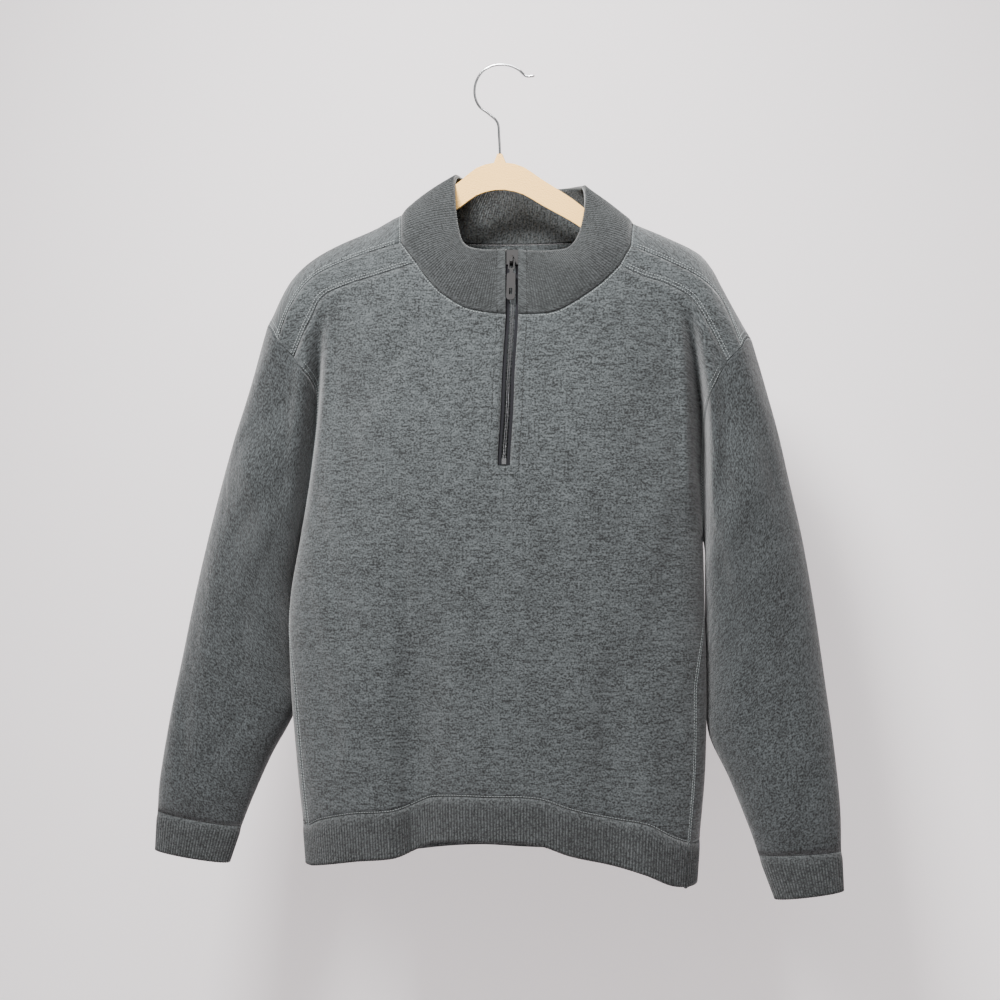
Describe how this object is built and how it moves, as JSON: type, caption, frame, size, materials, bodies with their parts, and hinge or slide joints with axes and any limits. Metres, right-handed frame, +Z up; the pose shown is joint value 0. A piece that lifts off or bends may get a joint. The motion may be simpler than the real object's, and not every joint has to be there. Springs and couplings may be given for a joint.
{
  "type": "quarter zip sweater on a clothes hanger",
  "caption": "Grey knitted sweater with a stand collar, short front zip, ribbed hem and cuffs, hanging empty on a flocked hanger with a steel hook.",
  "frame": {"origin": "inside top of the hanger hook's crook, where a rail carries it", "axes": "+Z up, +X to the viewer's right, +Y away from the viewer, so the sweater's front faces -Y"},
  "size_m": [0.7607, 0.1592, 0.9084],
  "materials": {
    "body_knit": "fine heather knit, matte, soft nap",
    "rib_knit": "ribbed heather knit, matte",
    "zip_tape": "woven black tape",
    "zip_metal": "dark gunmetal, satin",
    "zip_stop": "bright metal",
    "hanger_flock": "cream flocked, velvety",
    "hook_steel": "polished wire"
  },
  "bodies": {
    "sweater": {"front_body": "body_knit", "back_body": "body_knit", "left_shoulder_strip": "body_knit", "right_shoulder_strip": "body_knit", "left_sleeve": "body_knit", "right_sleeve": "body_knit", "left_cuff": "rib_knit", "right_cuff": "rib_knit", "hem_rib": "rib_knit", "collar": "rib_knit", "zip_tape_left": "zip_tape", "zip_tape_right": "zip_tape", "zip_teeth": "zip_metal", "zip_slider": "zip_metal", "zip_bottom_stop": "zip_stop", "hanger_body": "hanger_flock", "hanger_hook": "hook_steel"},
    "pull_tab": {"zip_pull_tab": "zip_metal"}
  },
  "joints": [
    {"name": "pull_tab_swing", "type": "hinge", "parent": "sweater", "child": "pull_tab", "pos_m": [0.0215, -0.06289, -0.22069], "axis": [-1, 0, 0], "range_deg": [0, 150]}
  ]
}
